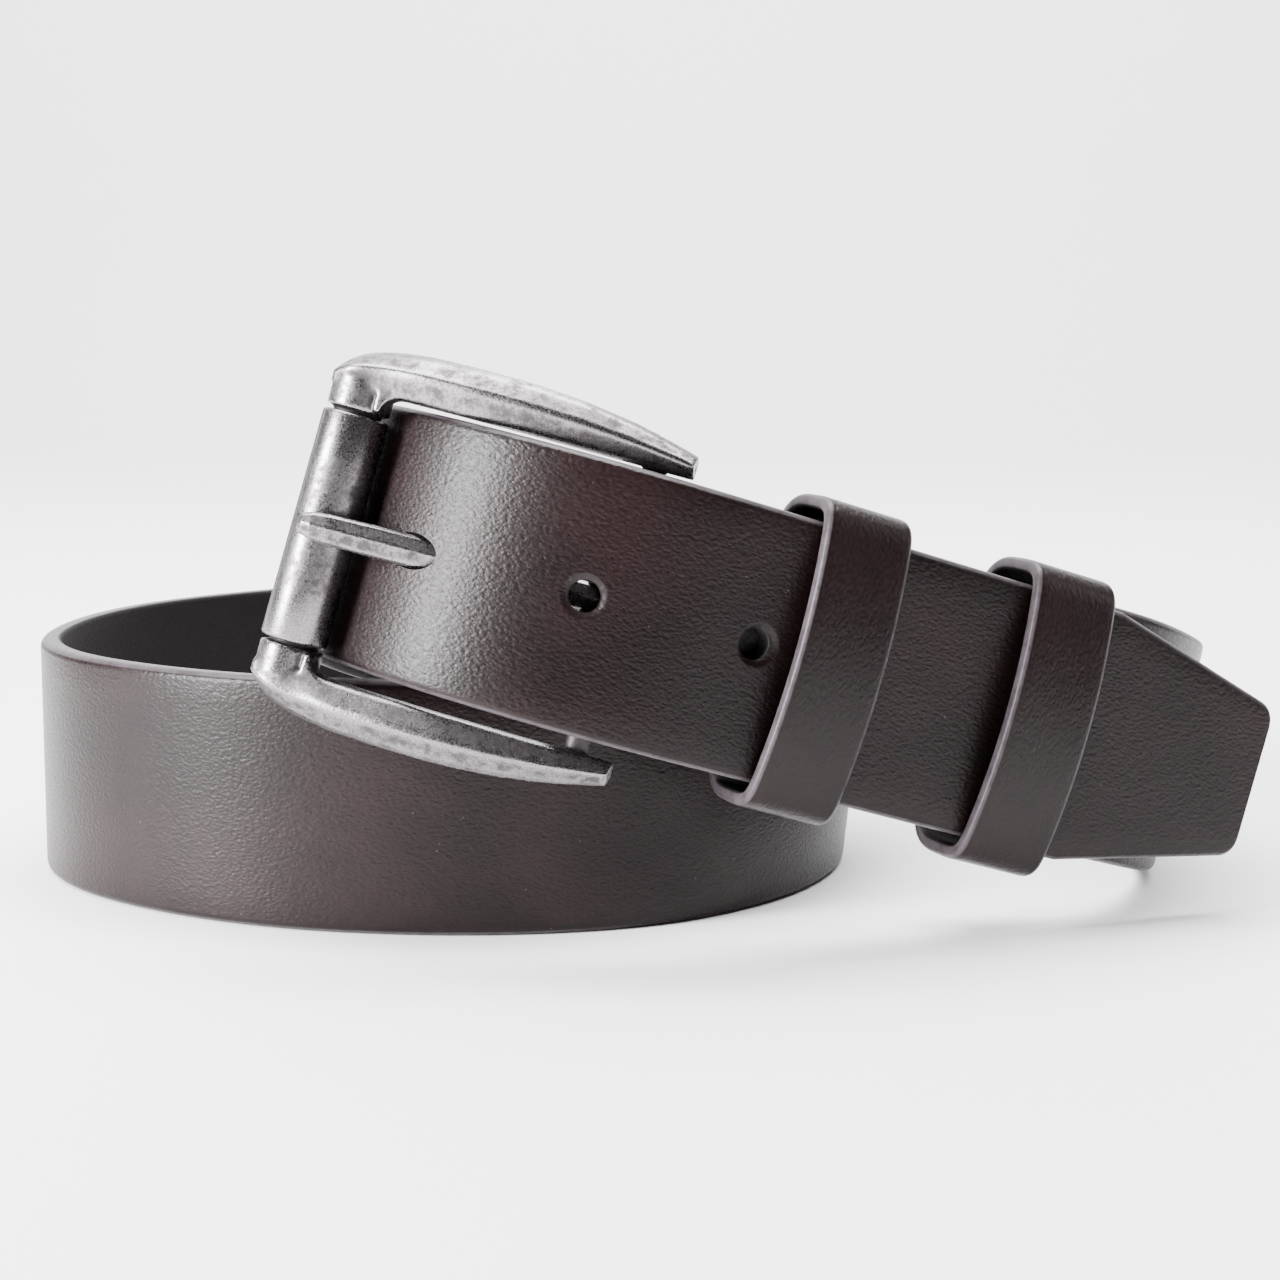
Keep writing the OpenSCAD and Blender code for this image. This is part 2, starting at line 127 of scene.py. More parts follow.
# Heights of the layers of the front stretch
WRAP_R = HEEL_R + 0.15 * MM
UNDER_LOW_R = BEND_R - 2 * STRAP_T - LAYER_GAP
TOUCH = math.degrees(math.asin(BEND_X / (UNDER_LOW_R - WRAP_R)))
BEND_Z = -(UNDER_LOW_R - WRAP_R) * math.cos(math.radians(TOUCH))
TIP_TOP = BEND_Z + BEND_R
UNDER_TOP = TIP_TOP - STRAP_T - LAYER_GAP
UNDER_LOW = UNDER_TOP - STRAP_T
FLAP_TOP = UNDER_LOW - FLAP_GAP
FLAP_LOW = FLAP_TOP - FLAP_T
TIP_MID_R = BEND_R - STRAP_T / 2
UNDER_MID_R = TIP_MID_R - STRAP_T - LAYER_GAP
KEEPER_LOW = FLAP_LOW - KEEPER_BELOW
KEEPER_HIGH = TIP_TOP + KEEPER_ABOVE
PRONG_RISE = math.degrees(math.asin((ROLLER_R + 0.3 * MM + PRONG_T / 2) / BAR_GAP))
PRONG_PLAY = 2
PRONG_SKEW = 1.2

TO_FRONT = (Matrix.Translation(HEEL) @ Matrix.Rotation(math.radians(YAW), 4, "Z")
            @ Matrix.Rotation(math.radians(PITCH), 4, "Y") @ Matrix.Rotation(math.radians(90), 4, "X"))
TO_BUCKLE = TO_FRONT @ Matrix.Rotation(math.radians(-BUCKLE_TURN), 4, "Y")
TO_FRAME = TO_BUCKLE @ Matrix.Translation((0, -BUCKLE_DROP, 0))
TO_PRONG = (TO_BUCKLE @ Matrix.Rotation(math.radians(PRONG_RISE), 4, "Y")
            @ Matrix.Rotation(math.radians(PRONG_SKEW), 4, "Z"))


# ---------------------------------------------------------------- the strap's path

def unit(a):
    """A vector's direction."""
    return a / np.linalg.norm(a)


def turned(angle):
    """Cosine and sine of an angle in degrees."""
    return math.cos(math.radians(angle)), math.sin(math.radians(angle))


def front_point(x, z):
    """A point of the front stretch's middle plane."""
    return np.array(TO_FRONT @ Vector((x, 0, z)))


def front_way(x, y, z):
    """A direction of the front stretch's frame."""
    return np.array(TO_FRONT.to_3x3() @ Vector((x, y, z)))


FRONT_UP = front_way(0, 1, 0)


def bend_point(angle, radius):
    """X and Z on the bend over the buckle, by the angle back from its top."""
    c, s = turned(angle)
    return BEND_X - radius * s, BEND_Z + radius * c


def front_ring(x, z, heading, half_w=STRAP_W / 2, thick=STRAP_T):
    """A section of the strap: middle, direction along it, direction across it, half width, half thickness."""
    c, s = turned(heading)
    return front_point(x, z), front_way(c, 0, s), FRONT_UP, half_w, thick / 2


def b_at(g, i, t):
    """A point of the cubic B-spline with guides g, at share t of stretch i."""
    return ((1 - t) ** 3 * g[i] + (3 * t ** 3 - 6 * t * t + 4) * g[i + 1]
            + (-3 * t ** 3 + 3 * t * t + 3 * t + 1) * g[i + 2] + t ** 3 * g[i + 3]) / 6


def b_way(g, i, t):
    """The direction of that spline."""
    return unit(-(1 - t) ** 2 * g[i] + (3 * t * t - 4 * t) * g[i + 1]
                + (-3 * t * t + 2 * t + 1) * g[i + 2] + t * t * g[i + 3])


def route_guides():
    """Guides of the free stretch, with those that carry the straight stretch and the bend over into it."""
    under = UNDER_TOP - STRAP_T / 2
    start = [front_point((ROUTE_START + k * GUIDE_GAP) * MM, under) for k in (-1, 0, 1)]
    radius = TIP_MID_R * 3 / (2 + turned(GUIDE_STEP)[0])
    end = [front_point(*bend_point(BEND_END + k * GUIDE_STEP, radius)) for k in (1, 0, -1)]
    middle = [np.array(p) * MM + SHIFT for p in ROUTE]
    keys, leans_x, leans_y = zip(*LEANS)
    leans = []
    for k in range(len(ROUTE)):
        leans.append(unit(np.array([np.interp(k, keys, leans_x), np.interp(k, keys, leans_y), 1])))
    return start + middle + end, [FRONT_UP] * 3 + leans + [FRONT_UP] * 3


GUIDES, LEAN_GUIDES = route_guides()


def route_ring(i, t):
    """A section of the free stretch."""
    way = b_way(GUIDES, i, t)
    lean = b_at(LEAN_GUIDES, i, t)
    return b_at(GUIDES, i, t), way, unit(lean - (lean @ way) * way), STRAP_W / 2, STRAP_T / 2


def flap_rings():
    """The folded flap, from its end to the heel bar."""
    low = -WRAP_R - FLAP_T / 2
    high = (FLAP_TOP + FLAP_LOW) / 2
    places = list(np.linspace(FLAP_LEN, FLAP_RISE, 16)) + list(np.linspace(FLAP_RISE, 0, 14))[1:]
    rings = []
    for x in places:
        a = min(x / FLAP_RISE, 1)
        slope = (high - low) * 6 * a * (1 - a) / FLAP_RISE
        z = low + (high - low) * a * a * (3 - 2 * a)
        rings.append(front_ring(x, z, 180 + math.degrees(math.atan(slope)), thick=FLAP_T))
    return rings


def fold_rings(steps=24):
    """The fold round the heel bar, where the flap's thickness grows to the strap's."""
    rings = []
    for k in range(1, steps):
        share = k / steps
        angle = 270 - share * (180 - TOUCH)
        thick = FLAP_T + (STRAP_T - FLAP_T) * share
        c, s = turned(angle)
        radius = WRAP_R + thick / 2
        rings.append(front_ring(radius * c, radius * s, angle - 90, thick=thick))
    return rings


def bend_rings(angles, radius):
    return [front_ring(*bend_point(a, radius), a) for a in angles]


def half_width(x):
    """Half width of the strap near its tip."""
    places = [TIP_LEN - back * MM for back, _ in TAPER]
    halves = [half * MM for _, half in TAPER]
    return float(np.interp(x, places, halves))


def tip_rings():
    """The straight stretch over the strap, and its tip."""
    corners = [TIP_LEN - back * MM for back, _ in TAPER[1:]]
    places = list(np.linspace(BEND_X, corners[0], 60)) + corners[1:]
    z = TIP_TOP - STRAP_T / 2
    return [front_ring(x, z, 0, half_width(x)) for x in places]


def strap_rings():
    """The whole strap, from the flap's end to the tip."""
    lead = bend_rings(np.linspace(TOUCH, 0, 9), UNDER_MID_R)
    straight_z = UNDER_TOP - STRAP_T / 2
    straight = [front_ring(x, straight_z, 0) for x in np.linspace(BEND_X, ROUTE_START * MM, 12)][1:-1]
    route = [route_ring(i, t) for i in range(len(GUIDES) - 3) for t in np.arange(0, 1, 0.1)]
    bend = bend_rings(np.linspace(BEND_END, 0, 46)[:-1], TIP_MID_R)
    return flap_rings() + fold_rings() + lead + straight + route + bend + tip_rings()


# ---------------------------------------------------------------- meshes

def linked(name, data):
    """A new object in the scene."""
    obj = bpy.data.objects.new(name, data)
    bpy.context.scene.collection.objects.link(obj)
    return obj


def smooth_faces(mesh):
    mesh.polygons.foreach_set("use_smooth", [True] * len(mesh.polygons))


def new_object(name, verts, faces):
    """A smooth-shaded mesh object."""
    mesh = bpy.data.meshes.new(name)
    mesh.from_pydata([tuple(v) for v in verts], [], faces)
    mesh.validate()
    mesh.update()
    smooth_faces(mesh)
    return linked(name, mesh)


def filled(name, bm):
    """A mesh with what a bmesh holds, which is then freed."""
    mesh = bpy.data.meshes.new(name)
    bm.to_mesh(mesh)
    bm.free()
    return mesh


def band_profile(half_w, half_t, outer_r, inner_r, across=10, arc=5):
    """Cross-section of a leather band with rounded edges: (across, up) points, from the outer face on."""
    points = [(half_w - outer_r) * (2 * k / across - 1) for k in range(across + 1)]
    profile = [(-x, half_t) for x in reversed(points)]
    for side in (1, -1):
        corners = ((outer_r, 1), (inner_r, -1)) if side > 0 else ((inner_r, -1), (outer_r, 1))
        for radius, up in corners:
            for k in range(1, arc + 1):
                angle = 90 * k / arc
                c, s = turned(angle)
                if (side > 0) == (up > 0):
                    x, z = half_w - radius + radius * s, half_t - radius + radius * c
                else:
                    x, z = half_w - radius + radius * c, half_t - radius + radius * s
                profile.append((side * x, up * z))
        if side > 0:
            inner = [(half_w - inner_r) * (2 * k / across - 1) for k in range(across + 1)]
            profile += [(x, -half_t) for x in reversed(inner)][1:]
    return profile[:-1]


def band_mesh(name, rings, outer_r, inner_r, closed=False):
    """Sweeps a band through its rings.

    UV map strip: length along and round the band, in metres. UV map wrap: height through the band from -1
    (inner face) to 1, and the distance to the band's edge, in metres.
    """
    verts, faces = [], []
    along = [0]
    for a, b in zip(rings, rings[1:] + rings[:1]):
        along.append(along[-1] + float(np.linalg.norm(b[0] - a[0])))
    info = []
    for middle, way, across, half_w, half_t in rings:
        out = np.cross(way, across)
        profile = band_profile(half_w, half_t, min(outer_r, half_t * 0.95), min(inner_r, half_t * 0.6))
        steps = [math.dist(a, b) for a, b in zip(profile, profile[1:] + profile[:1])]
        around = np.concatenate([[0], np.cumsum(steps)]) - (half_w - outer_r)
        info.append((profile, around, half_w, half_t))
        verts += [middle + x * across + z * out for x, z in profile]
    sides = len(info[0][0])
    count = len(rings)
    corners = []
    for i in range(count if closed else count - 1):
        j = (i + 1) % count
        for k in range(sides):
            m = (k + 1) % sides
            faces.append((i * sides + k, j * sides + k, j * sides + m, i * sides + m))
            corners.append(((i, i, k, k), (j, i + 1, k, k), (j, i + 1, m, k + 1), (i, i, m, k + 1)))
    if not closed:
        for i, order in ((0, range(sides)), (count - 1, range(sides - 1, -1, -1))):
            faces.append(tuple(i * sides + k for k in order))
            corners.append(tuple((i, i, k, k) for k in order))
    obj = new_object(name, verts, faces)
    strip = obj.data.uv_layers.new(name="strip")
    wrap = obj.data.uv_layers.new(name="wrap")
    at = 0
    for face in corners:
        for ring, place, k, turn in face:
            profile, around, half_w, half_t = info[ring]
            strip.data[at].uv = (along[place], around[turn])
            wrap.data[at].uv = (profile[k][1] / half_t, half_w - abs(profile[k][0]))
            at += 1
    return obj


def cylinder(name, length, radius, matrix, segments=48):
    """A cylinder along Z of its frame."""
    bm = bmesh.new()
    bmesh.ops.create_cone(bm, cap_ends=True, segments=segments, radius1=radius, radius2=radius, depth=length)
    mesh = filled(name, bm)
    mesh.transform(matrix)
    return linked(name, mesh)


def bar(name, length, radius, matrix, segments=48):
    """A cylinder across the strap, that is along Y of its frame."""
    return cylinder(name, length, radius, matrix @ Matrix.Rotation(math.radians(90), 4, "X"), segments)


def apply_modifiers(obj):
    graph = bpy.context.evaluated_depsgraph_get()
    result = obj.evaluated_get(graph)
    mesh = bpy.data.meshes.new_from_object(result, preserve_all_data_layers=True, depsgraph=graph)
    obj.modifiers.clear()
    obj.data = mesh


def cut(obj, cutters):
    """Cuts the cutters out of a mesh. The walls they leave take the mesh's second material, if it has one."""
    wall = 1 if len(obj.data.materials) > 1 else 0
    for cutter in cutters:
        for _ in obj.data.materials:
            cutter.data.materials.append(None)
        cutter.data.polygons.foreach_set("material_index", [wall] * len(cutter.data.polygons))
        mod = obj.modifiers.new("cut", "BOOLEAN")
        mod.operation = "DIFFERENCE"
        mod.solver = "EXACT"
        mod.object = cutter
    apply_modifiers(obj)
    for cutter in cutters:
        bpy.data.objects.remove(cutter)
    sharpen(obj)


def sharpen(obj, angle=40):
    """Keeps the shading crisp along edges that turn by more than an angle."""
    bm = bmesh.new()
    bm.from_mesh(obj.data)
    for edge in bm.edges:
        if edge.is_manifold:
            edge.smooth = edge.calc_face_angle() < math.radians(angle)
    bm.to_mesh(obj.data)
    bm.free()


def melted(name, parts, voxel, rounds):
    """Joins overlapping closed meshes into one skin and softens its edges, as a casting's edges are soft."""
    bm = bmesh.new()
    for part in parts:
        bm.from_mesh(part.data)
        bpy.data.objects.remove(part)
    obj = linked(name, filled(name, bm))
    remesh = obj.modifiers.new("skin", "REMESH")
    remesh.mode = "VOXEL"
    remesh.voxel_size = voxel
    remesh.adaptivity = 0
    smooth = obj.modifiers.new("soft", "SMOOTH")
    smooth.factor = 0.5
    smooth.iterations = rounds
    apply_modifiers(obj)
    smooth_faces(obj.data)
    return obj


def add_wear(mesh, values):
    """The attribute that the silver's patina follows: 0 in hollows, 1 on polished edges."""
    layer = mesh.attributes.new("wear", "FLOAT", "POINT")
    layer.data.foreach_set("value", values)


def store_wear(obj, reach, rounds):
    """Works the wear out from how far each vertex stands out of its neighbourhood."""
    mesh = obj.data
    count = len(mesh.vertices)
    places = np.empty(count * 3)
    mesh.vertices.foreach_get("co", places)
    places = places.reshape(-1, 3)
    normals = np.empty(count * 3)
    mesh.vertex_normals.foreach_get("vector", normals)
    normals = normals.reshape(-1, 3)
    edges = np.empty(len(mesh.edges) * 2, dtype=int)
    mesh.edges.foreach_get("vertices", edges)
    a, b = edges.reshape(-1, 2).T
    degree = np.bincount(a, minlength=count) + np.bincount(b, minlength=count)
    soft = places.copy()
    for _ in range(rounds):
        sums = []
        for k in range(3):
            sums.append(np.bincount(a, soft[b, k], count) + np.bincount(b, soft[a, k], count))
        soft = (soft + np.stack(sums, 1)) / (degree + 1)[:, None]
    height = ((places - soft) * normals).sum(1)
    wear = np.clip(0.5 + height / (2 * reach), 0, 1)
    add_wear(mesh, wear.astype(np.float32))


def paint_bar_shade(obj, matrix, radius):
    """Paints shade on the bar along Y of a frame, between the arms: its wear is set to 0, so it takes the
    dark patina colour, in place of the shade beside the strap's fold.
    """
    back = matrix.inverted()
    wear = obj.data.attributes["wear"].data
    for vertex in obj.data.vertices:
        x, y, z = back @ vertex.co
        if math.hypot(x, z) < radius and abs(y) < ARM_INSIDE / 2:
            wear[vertex.index].value = 0


# ---------------------------------------------------------------- leather pieces

def hole_matrices():
    """Places of the round holes: Y is across the strap, Z out of it. Number 0 is the prong's hole."""
    places = []
    for k in (2, 1, -1):
        s = FIRST_HOLE + k * HOLE_PITCH
        angle = max(0, math.degrees((BEND_X - s) / BEND_R))
        x, z = bend_point(angle, TIP_MID_R) if angle > 0 else (s, TIP_TOP - STRAP_T / 2)
        lean = Matrix.Rotation(math.radians(-angle), 4, "Y")
        places.append(TO_FRONT @ Matrix.Translation((x, 0, z)) @ lean)
    middle, way, across, _, _ = route_ring(*FAR_HOLE)
    out = np.cross(way, across)
    basis = Matrix([[way[k], across[k], out[k]] for k in range(3)]).to_4x4()
    places.append(Matrix.Translation(middle) @ basis)
    return places


def prong_way():
    """Cutter of the oval way that the prong takes through the strap."""
    middle_x, middle_y = -28 * MM, -0.55 * MM
    length, half_w, half_h = 21 * MM, 2.6 * MM, 2.7 * MM
    way = TO_BUCKLE @ Matrix.Rotation(math.radians(PRONG_RISE + PRONG_PLAY / 2), 4, "Y")
    oval = Matrix.Translation((middle_x, middle_y, 0)) @ Matrix.Diagonal((1, half_w / half_h, 1, 1))
    along = Matrix.Rotation(math.radians(90), 4, "Y")
    return cylinder("way", length, half_h, way @ oval @ along, segments=64)


def make_strap():
    """The strap, with its holes, the prong's way and the slot in the fold that the prong's eye stands in."""
    rings = strap_rings()
    obj = band_mesh("strap_leather", rings, outer_r=1.3 * MM, inner_r=0.8 * MM)
    cutters = [cylinder("hole", STRAP_T + 0.3 * MM, HOLE_D / 2, m) for m in hole_matrices()]
    cutters.append(prong_way())
    cutters.append(bar("slot", HOLE_D + 0.4 * MM, WRAP_R + STRAP_T + LAYER_GAP / 2, TO_FRONT, segments=96))
    obj.data.materials.append(leather("strap_skin", hole_places(rings)))
    obj.data.materials.append(hole_wall())
    cut(obj, cutters)
    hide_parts("strap")
    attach(obj, "belt")


def hole_places(rings):
    """Places of the round holes as lengths along the strap, for the pressed rims.

    Only the strap's second half is searched, since its first half lies close under the holes.
    """
    middles = np.array([r[0] for r in rings])
    along = np.concatenate([[0], np.cumsum(np.linalg.norm(np.diff(middles, axis=0), axis=1))])
    places = []
    for matrix in hole_matrices():
        gaps = np.linalg.norm(middles - np.array(matrix.translation), axis=1)
        half = len(gaps) // 2
        places.append(float(along[half + int(np.argmin(gaps[half:]))]))
    return places


def keeper_rings():
    """Closed middle line of a keeper, round the strap, in the plane across it."""
    half_w = STRAP_W / 2 + KEEPER_SIDE + KEEPER_T / 2
    low = KEEPER_LOW - KEEPER_T / 2
    high = KEEPER_HIGH + KEEPER_T / 2
    corner = KEEPER_CORNER + KEEPER_T / 2
    arch = KEEPER_ARCH + KEEPER_T / 2
    outline = []
    for k in range(360):
        c, s = turned(k - 90)
        y = math.copysign(half_w - corner, c) + corner * c if abs(c) > 1e-6 else 0
        z = (high - corner if s > 0 else low + corner) + corner * s
        outline.append((y, z))
    bent = []
    for y, z in divided(outline, 1.2 * MM):
        roof = high - arch + math.sqrt(arch * arch - y * y)
        bent.append((y, min(z, roof)))
    return smoothed(bent)


def divided(outline, longest):
    """A closed outline with its long straight lines divided."""
    points = []
    for a, b in zip(outline, outline[1:] + outline[:1]):
        steps = max(1, int(math.dist(a, b) / longest))
        for t in range(steps):
            points.append((a[0] + (b[0] - a[0]) * t / steps, a[1] + (b[1] - a[1]) * t / steps))
    return points


def smoothed(points, count=160, rounds=12):
    """Evenly spaced points on a closed line, with its corners softened."""
    line = np.array(points + points[:1])
    along = np.concatenate([[0], np.cumsum(np.linalg.norm(np.diff(line, axis=0), axis=1))])
    places = np.linspace(0, along[-1], count + 1)[:-1]
    even = np.stack([np.interp(places, along, line[:, k]) for k in range(2)], 1)
    for _ in range(rounds):
        even = (np.roll(even, 1, 0) + 2 * even + np.roll(even, -1, 0)) / 4
    return even


def make_keeper(name, node, body, x):
    """A keeper whose edge nearer the buckle is at x."""
    line = keeper_rings()
    rings = []
    for k, (y, z) in enumerate(line):
        way = unit(line[(k + 1) % len(line)] - line[k - 1])
        middle = np.array(TO_FRONT @ Vector((x + KEEPER_W / 2, y, z)))
        rings.append((middle, front_way(0, way[0], way[1]), front_way(1, 0, 0), KEEPER_W / 2, KEEPER_T / 2))
    obj = band_mesh(name, rings, outer_r=0.85 * MM, inner_r=0.5 * MM, closed=True)
    obj.data.materials.append(leather(name + "_skin", []))
    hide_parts(node)
    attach(obj, body)


# ---------------------------------------------------------------- metal pieces

def arm_section(x, z, half, outer):
    """Section of an arm at x: a ridge halfway across its face, with a slope down to each side."""
    inner = ARM_INSIDE / 2
    width = outer - inner
    low, high = z - half, z + half
    fall = float(np.interp(x, [-BAR_GAP, -BAR_GAP + 9 * MM], [0.3 * MM, 1.9 * MM]))
    return [
        (inner, low + 0.3 * MM), (inner, high - fall), (inner + width * 0.08, high - 0.7 * fall),
        (inner + width * 0.46, high - 0.1 * MM), (inner + width * 0.56, high - 0.1 * MM),
        (outer - width * 0.12, z + half * 0.25), (outer, z - half * 0.25),
        (outer - width * 0.12, low + half * 0.2), (outer - width * 0.3, low), (inner + width * 0.15, low),
    ]


def skin_faces(rows, sides):
    """Faces between rows of points, and the two ends."""
    faces = []
    for i in range(rows - 1):
        for k in range(sides):
            m = (k + 1) % sides
            faces.append((i * sides + k, i * sides + m, (i + 1) * sides + m, (i + 1) * sides + k))
    faces.append(tuple(range(sides - 1, -1, -1)))
    faces.append(tuple((rows - 1) * sides + k for k in range(sides)))
    return faces


def arm_part(side, matrix, sections=90):
    """One domed arm, at side 1 or -1."""
    keys, *columns = np.array(ARM).T
    places = np.linspace(keys[0], keys[-1], sections)
    rows = [smooth_interp(places, keys, values) for values in columns]
    verts = []
    for x, z, half, outer in zip(places, *rows):
        for y, height in arm_section(x * MM, z * MM, half * MM, outer * MM):
            verts.append(matrix @ Vector((x * MM, side * y, height)))
    return closed(new_object("arm", verts, skin_faces(sections, len(verts) // sections)))


def smooth_interp(places, keys, values, count=361, rounds=150):
    """Values between keys, smoothed so that the arm has no kinks."""
    fine = np.linspace(keys[0], keys[-1], count)
    line = np.interp(fine, keys, values)
    ends = line[0], line[-1]
    for _ in range(rounds):
        line[1:-1] = (line[:-2] + 2 * line[1:-1] + line[2:]) / 4
    line[0], line[-1] = ends
    return np.interp(places, fine, line)


def fillet_part(side, matrix):
    """Fills the corner between an arm and the thick end of the front bar."""
    radius = 2.6 * MM
    sunk_x, sunk_y = 1 * MM, 1.5 * MM
    low, high = 0.6 * MM, 4.3 * MM
    steps = 8
    x, y = -BAR_GAP + 4.3 * MM, ARM_INSIDE / 2
    outline = [(x - sunk_x, y + sunk_y), (x - sunk_x, y - radius)]
    for k in range(steps + 1):
        c, s = turned(180 - 90 * k / steps)
        outline.append((x + radius + radius * c, y - radius + radius * s))
    outline.append((x + radius, y + sunk_y))
    count = len(outline)
    verts = [matrix @ Vector((a, side * b, z)) for z in (low, high) for a, b in outline]
    faces = [tuple(range(count))[::-1], tuple(range(count, 2 * count))]
    faces += [(k, (k + 1) % count, count + (k + 1) % count, count + k) for k in range(count)]
    return closed(new_object("fillet", verts, faces))


def closed(obj):
    """Turns every face of a closed mesh outwards."""
    bm = bmesh.new()
    bm.from_mesh(obj.data)
    bmesh.ops.recalc_face_normals(bm, faces=bm.faces)
    bm.to_mesh(obj.data)
    bm.free()
    return obj


def make_frame():
    """The buckle's casting: arms, thick front ends, bosses at the heel bar, and the two bars."""
    block_in = (ROLLER_LEN + 1.2 * MM) / 2
    block_out = ARM_INSIDE / 2 + 1.6 * MM
    boss_y = ARM_INSIDE / 2 + 1.4 * MM
    parts = []
    for side in (1, -1):
        parts.append(arm_part(side, TO_FRAME))
        parts.append(fillet_part(side, TO_FRAME))
        block = TO_FRAME @ Matrix.Translation((-BAR_GAP, side * (block_in + block_out) / 2, 0))
        parts.append(bar("block", block_out - block_in, ROLLER_R - 0.25 * MM, block))
        boss = TO_FRAME @ Matrix.Translation((0, side * boss_y, 0))
        parts.append(bar("boss", 2.2 * MM, HEEL_R + 1.1 * MM, boss))
    parts.append(bar("heel_bar", ARM_INSIDE + 2 * MM, HEEL_R - 0.05 * MM, TO_FRAME))
    front = TO_FRAME @ Matrix.Translation((-BAR_GAP, 0, 0))
    parts.append(bar("front_bar", ARM_INSIDE - 2 * MM, ROLLER_R - ROLLER_WALL - 0.2 * MM, front))
    obj = melted("buckle_silver", parts, voxel=0.26 * MM, rounds=12)
    store_wear(obj, reach=0.25 * MM, rounds=14)
    # The heel bar is darkened: painted shade beside the strap's fold
    paint_bar_shade(obj, TO_FRAME, HEEL_R + 0.3 * MM)
    obj.data.materials.append(SILVER)
    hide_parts("buckle_frame")
    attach(obj, "belt")


def make_roller():
    """A tube rolled from sheet, with rounded ends and a seam at its back."""
    bore = ROLLER_R - ROLLER_WALL
    # Radius, and share of the half length: from the bore round one end to the middle
    half = [
        (bore, -1), (ROLLER_R - 0.5 * MM, -1), (ROLLER_R - 0.15 * MM, -0.99), (ROLLER_R, -0.97),
        (ROLLER_R, -0.5),
    ]
    wall = half + [(ROLLER_R, 0)] + [(radius, -y) for radius, y in reversed(half)]
    segments = 96
    seam = 40
    seam_depth = 0.25 * MM
    end_wear, wear = 0.75, 0.55
    verts, faces = [], []
    place = TO_FRAME @ Matrix.Translation((-BAR_GAP, 0, 0))
    for i in range(segments):
        c, s = turned(360 * i / segments)
        for radius, y in wall:
            groove = seam_depth if i == seam and radius > bore else 0
            verts.append(place @ Vector(((radius - groove) * c, y * ROLLER_LEN / 2, (radius - groove) * s)))
    rows = len(wall)
    for i in range(segments):
        j = (i + 1) % segments
        for k in range(rows):
            m = (k + 1) % rows
            faces.append((i * rows + k, i * rows + m, j * rows + m, j * rows + k))
    obj = new_object("roller_silver", verts, faces)
    add_wear(obj.data, [wear if abs(y) < 0.9 else end_wear for _, y in wall] * segments)
    obj.data.materials.append(SILVER)
    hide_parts("roller")
    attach(obj, "roller")


def prong_section(width, height):
    """Section of the prong: flat below, two faces that meet in a ridge above."""
    w = width / 2
    foot, shoulder, slope = 0.5 * MM, height - 1.2 * MM, height - 0.6 * MM
    return [
        (-w, foot), (-w, shoulder), (-0.8 * w, slope), (0.05 * w, height), (0.8 * w, slope), (w, shoulder),
        (w, foot), (0.75 * w, 0), (-0.75 * w, 0),
    ]


def make_prong():
    """The prong: a tapered shank and the eye round the heel bar."""
    verts = []
    for x, width, low, high in PRONG:
        scale = min(1, (high - low) / PRONG_SECTION)
        for y, z in prong_section(width * MM, (high - low) * MM / scale):
            verts.append(TO_PRONG @ Vector((x * MM, y, low * MM + z * scale)))
    shank = closed(new_object("shank", verts, skin_faces(len(PRONG), len(verts) // len(PRONG))))
    eye = bar("eye", PRONG_W, HEEL_R + 1.5 * MM, TO_PRONG)
    cut(eye, [bar("bore", 2 * PRONG_W, HEEL_R + 0.1 * MM, TO_PRONG)])
    cut(shank, [bar("bore", 2 * PRONG_W, HEEL_R + 0.3 * MM, TO_PRONG)])
    obj = melted("prong_silver", [shank, eye], voxel=0.16 * MM, rounds=6)
    store_wear(obj, reach=0.12 * MM, rounds=10)
    obj.data.materials.append(SILVER)
    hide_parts("prong")
    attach(obj, "prong")


# ---------------------------------------------------------------- materials

